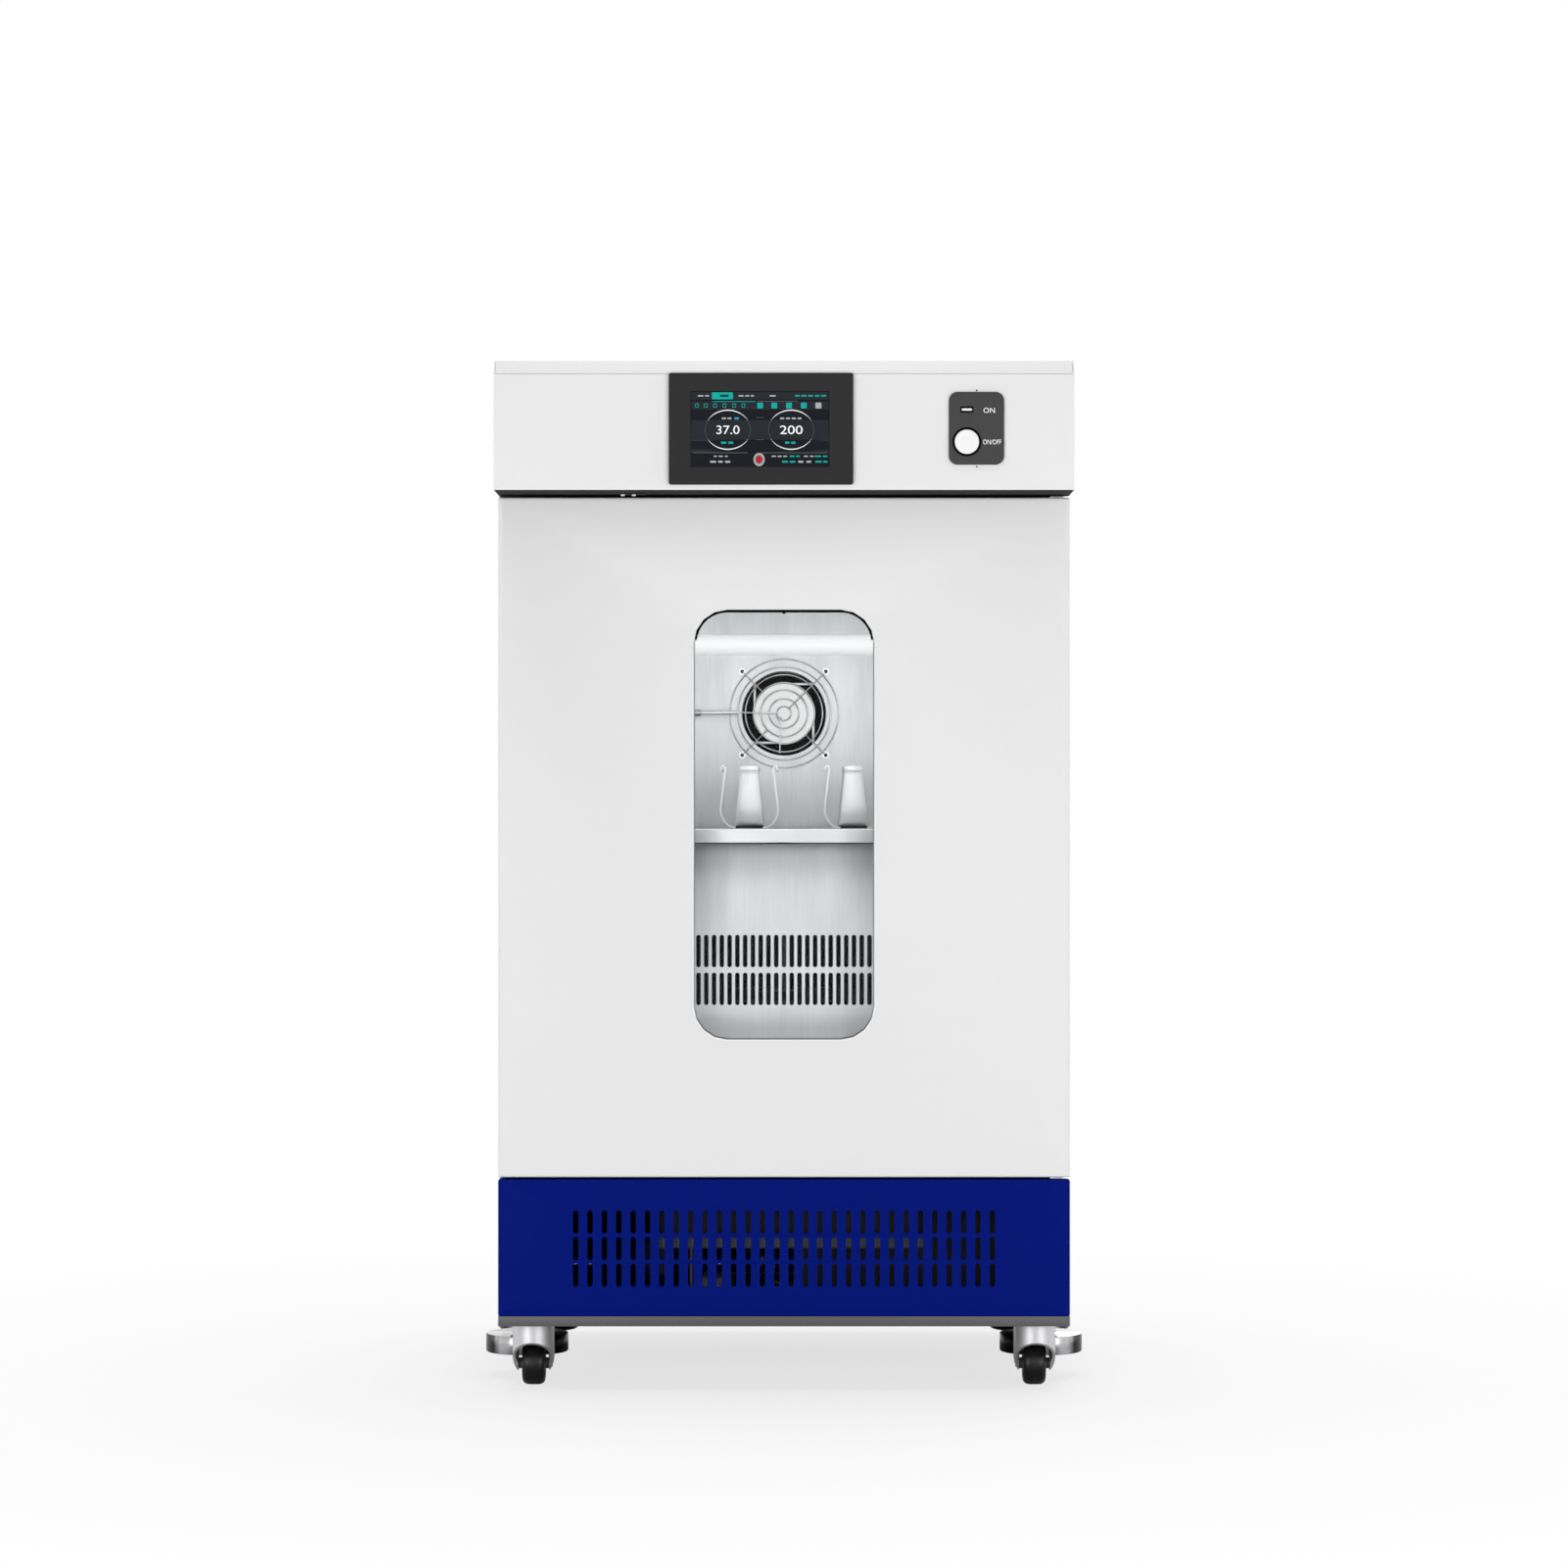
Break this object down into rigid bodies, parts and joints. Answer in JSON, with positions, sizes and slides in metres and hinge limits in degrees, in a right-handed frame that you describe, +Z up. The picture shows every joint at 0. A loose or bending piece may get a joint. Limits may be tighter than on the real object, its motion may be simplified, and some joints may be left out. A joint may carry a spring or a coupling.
{
  "type": "shaking incubator",
  "caption": "Upright shaking incubator cabinet with a windowed door, orbital flask platform, front control head and slotted machine panel on casters.",
  "frame": {"origin": "middle of the footprint, on the floor under the caster wheels", "axes": "+Z up, -Y to the front (door and display), +X to the right seen from the front"},
  "size_m": [0.71, 0.681, 1.183],
  "materials": {
    "white_paint": "satin",
    "blue_paint": "satin",
    "frame_paint": "satin",
    "stainless": "satin",
    "bright_steel": "polished",
    "zinc": "satin",
    "platform_aluminium": "satin",
    "cast_aluminium": "satin",
    "compressor_black": "satin",
    "black_plastic": "matte",
    "dark_plastic": "satin",
    "white_plastic": "satin",
    "rubber": "matte",
    "glass": "gloss",
    "foam": "matte"
  },
  "bodies": {
    "cabinet": {"base_frame": "frame_paint", "outer_casing": "white_paint", "rear_panel": "white_paint", "grille_panel": "blue_paint", "control_head": "white_paint", "top_cover": "white_paint", "screen_bezel": "dark_plastic", "screen_glass": "glass", "switch_plate": "dark_plastic", "indicator_lens": "white_plastic", "door_switch": "black_plastic", "insulation": "foam", "chamber_liner": "stainless", "rear_baffle": "stainless", "lamp_diffuser": "white_plastic", "fan_frame": "black_plastic", "fan_guard": "bright_steel", "heater_element": "zinc", "sensor_probe": "bright_steel", "drive_housing": "stainless", "drive_plate": "cast_aluminium", "drive_motor": "frame_paint", "drive_belt": "rubber", "compressor": "compressor_black", "condenser": "cast_aluminium", "power_inlet": "black_plastic", "upper_hinge": "bright_steel", "lower_hinge": "bright_steel"},
    "door": {"door_skin": "white_paint", "door_inner_panel": "white_paint", "window_outer_pane": "glass", "window_inner_pane": "glass", "window_seal": "rubber", "door_gasket": "rubber"},
    "power_button": {"power_button": "white_plastic"},
    "main_crank": {"main_crank": "zinc"},
    "idler_left": {"idler_crank_left": "zinc"},
    "idler_right": {"idler_crank_right": "zinc"},
    "platform": {"platform": "platform_aluminium", "flask_clamp_front_left": "bright_steel", "flask_clamp_front_middle": "bright_steel", "flask_clamp_front_right": "bright_steel", "flask_clamp_rear_left": "bright_steel", "flask_clamp_rear_middle": "bright_steel", "flask_clamp_rear_right": "bright_steel"},
    "motor_rotor": {"motor_pulley": "cast_aluminium"},
    "fan_rotor": {"fan_rotor": "black_plastic"},
    "condenser_fan": {"condenser_fan": "dark_plastic"},
    "caster_front_left": {"caster_fork_front_left": "zinc"},
    "wheel_front_left": {"caster_wheel_front_left": "rubber"},
    "foot_front_left": {"levelling_foot_front_left": "frame_paint"},
    "caster_front_right": {"caster_fork_front_right": "zinc"},
    "wheel_front_right": {"caster_wheel_front_right": "rubber"},
    "foot_front_right": {"levelling_foot_front_right": "frame_paint"},
    "caster_rear_left": {"caster_fork_rear_left": "zinc"},
    "wheel_rear_left": {"caster_wheel_rear_left": "rubber"},
    "foot_rear_left": {"levelling_foot_rear_left": "frame_paint"},
    "caster_rear_right": {"caster_fork_rear_right": "zinc"},
    "wheel_rear_right": {"caster_wheel_rear_right": "rubber"},
    "foot_rear_right": {"levelling_foot_rear_right": "frame_paint"}
  },
  "joints": [
    {"name": "door_hinge", "type": "hinge", "parent": "cabinet", "child": "door", "pos_m": [0.315, -0.2395, 0.2475], "axis": [0, 0, 1], "range_deg": [0, 110]},
    {"name": "power_button_press", "type": "slide", "parent": "cabinet", "child": "power_button", "axis": [0, 1, 0], "range_m": [0, 0.003], "stiffness_N_per_m": 400, "springref_m": -0.001},
    {"name": "crank_spin", "type": "hinge", "parent": "cabinet", "child": "main_crank", "pos_m": [0, 0.072, 0.6275], "axis": [0, 0, 1], "continuous": true},
    {"name": "idler_left_spin", "type": "hinge", "parent": "cabinet", "child": "idler_left", "pos_m": [-0.15, -0.083, 0.6275], "axis": [0, 0, 1], "continuous": true},
    {"name": "idler_right_spin", "type": "hinge", "parent": "cabinet", "child": "idler_right", "pos_m": [0.15, -0.083, 0.6275], "axis": [0, 0, 1], "continuous": true},
    {"name": "platform_orbit", "type": "hinge", "parent": "main_crank", "child": "platform", "pos_m": [0, 0.059, 0.6325], "axis": [0, 0, 1], "continuous": true},
    {"name": "motor_spin", "type": "hinge", "parent": "cabinet", "child": "motor_rotor", "pos_m": [0.145, 0.072, 0.446], "axis": [0, 0, 1], "continuous": true},
    {"name": "fan_spin", "type": "hinge", "parent": "cabinet", "child": "fan_rotor", "pos_m": [0, 0.1991, 0.795], "axis": [0, 1, 0], "continuous": true},
    {"name": "condenser_fan_spin", "type": "hinge", "parent": "cabinet", "child": "condenser_fan", "pos_m": [0.14, -0.1347, 0.1535], "axis": [0, 1, 0], "continuous": true},
    {"name": "swivel_front_left", "type": "hinge", "parent": "cabinet", "child": "caster_front_left", "pos_m": [-0.2925, -0.2135, 0.0757], "axis": [0, 0, 1], "continuous": true},
    {"name": "roll_front_left", "type": "hinge", "parent": "caster_front_left", "child": "wheel_front_left", "pos_m": [-0.2925, -0.1885, 0.025], "axis": [1, 0, 0], "continuous": true},
    {"name": "screw_down_front_left", "type": "slide", "parent": "cabinet", "child": "foot_front_left", "axis": [0, 0, -1], "range_m": [0, 0.03]},
    {"name": "swivel_front_right", "type": "hinge", "parent": "cabinet", "child": "caster_front_right", "pos_m": [0.2925, -0.2135, 0.0757], "axis": [0, 0, 1], "continuous": true},
    {"name": "roll_front_right", "type": "hinge", "parent": "caster_front_right", "child": "wheel_front_right", "pos_m": [0.2925, -0.1885, 0.025], "axis": [1, 0, 0], "continuous": true},
    {"name": "screw_down_front_right", "type": "slide", "parent": "cabinet", "child": "foot_front_right", "axis": [0, 0, -1], "range_m": [0, 0.03]},
    {"name": "swivel_rear_left", "type": "hinge", "parent": "cabinet", "child": "caster_rear_left", "pos_m": [-0.2925, 0.2605, 0.0757], "axis": [0, 0, 1], "continuous": true},
    {"name": "roll_rear_left", "type": "hinge", "parent": "caster_rear_left", "child": "wheel_rear_left", "pos_m": [-0.2925, 0.2355, 0.025], "axis": [1, 0, 0], "continuous": true},
    {"name": "screw_down_rear_left", "type": "slide", "parent": "cabinet", "child": "foot_rear_left", "axis": [0, 0, -1], "range_m": [0, 0.03]},
    {"name": "swivel_rear_right", "type": "hinge", "parent": "cabinet", "child": "caster_rear_right", "pos_m": [0.2925, 0.2605, 0.0757], "axis": [0, 0, 1], "continuous": true},
    {"name": "roll_rear_right", "type": "hinge", "parent": "caster_rear_right", "child": "wheel_rear_right", "pos_m": [0.2925, 0.2355, 0.025], "axis": [1, 0, 0], "continuous": true},
    {"name": "screw_down_rear_right", "type": "slide", "parent": "cabinet", "child": "foot_rear_right", "axis": [0, 0, -1], "range_m": [0, 0.03]}
  ],
  "couplings": [
    {"joint": "idler_left_spin", "follows": "crank_spin", "ratio": 1},
    {"joint": "idler_right_spin", "follows": "crank_spin", "ratio": 1},
    {"joint": "platform_orbit", "follows": "crank_spin", "ratio": -1},
    {"joint": "motor_spin", "follows": "crank_spin", "ratio": 3}
  ]
}
